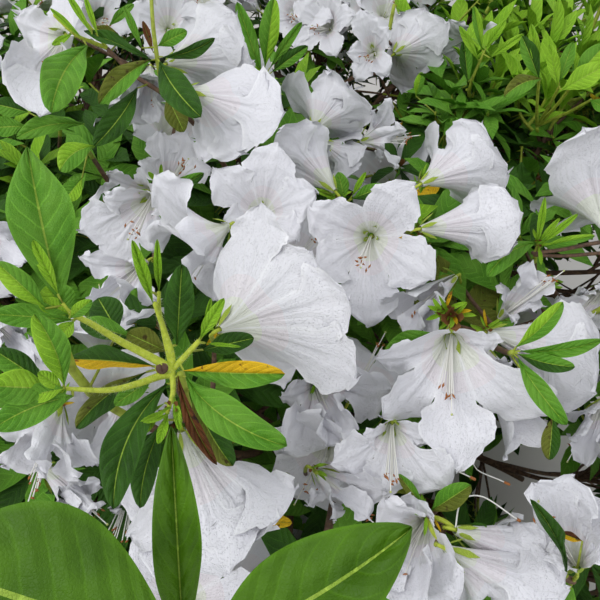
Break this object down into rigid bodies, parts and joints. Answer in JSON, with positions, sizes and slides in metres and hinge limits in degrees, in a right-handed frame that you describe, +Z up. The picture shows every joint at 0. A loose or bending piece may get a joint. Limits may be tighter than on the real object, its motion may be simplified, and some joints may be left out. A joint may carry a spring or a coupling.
{
  "type": "azalea shrub",
  "caption": "Low mounded azalea shrub in full flower, with large white funnel blooms, dark leaves and a short main stem cut flat at ground level.",
  "frame": {"origin": "middle of the flat cut under the main stem, at ground level", "axes": "+Z up, -Y towards the side that the picture was taken from"},
  "size_m": [1.2668, 1.1641, 0.8139],
  "materials": {
    "stem_bark": "rough grey-brown bark",
    "bough_bark": "rough brown bark",
    "foliage": "dark green, softly hairy leaves",
    "young_growth": "bright yellow-green young leaves and shoots",
    "old_leaves": "yellow to orange-brown ageing leaves",
    "petals": "white petals with a faint pink blush",
    "stamens": "pale threads with brown-orange tips"
  },
  "bodies": {
    "root": {"main_stem": "stem_bark", "bough_top": "bough_bark", "bough_upper_1": "bough_bark", "bough_upper_2": "bough_bark", "bough_upper_3": "bough_bark", "bough_upper_4": "bough_bark", "bough_upper_5": "bough_bark", "bough_lower_1": "bough_bark", "bough_lower_2": "bough_bark", "bough_lower_3": "bough_bark", "bough_lower_4": "bough_bark", "bough_lower_5": "bough_bark", "bough_lower_6": "bough_bark", "bough_lower_7": "bough_bark", "bough_lower_8": "bough_bark", "bough_lower_9": "bough_bark", "bough_lower_10": "bough_bark", "foliage_top": "foliage", "foliage_upper_1": "foliage", "foliage_upper_2": "foliage", "foliage_upper_3": "foliage", "foliage_upper_4": "foliage", "foliage_upper_5": "foliage", "foliage_lower_1": "foliage", "foliage_lower_2": "foliage", "foliage_lower_3": "foliage", "foliage_lower_4": "foliage", "foliage_lower_5": "foliage", "foliage_lower_6": "foliage", "foliage_lower_7": "foliage", "foliage_lower_8": "foliage", "foliage_lower_9": "foliage", "foliage_lower_10": "foliage"}
  },
  "joints": []
}
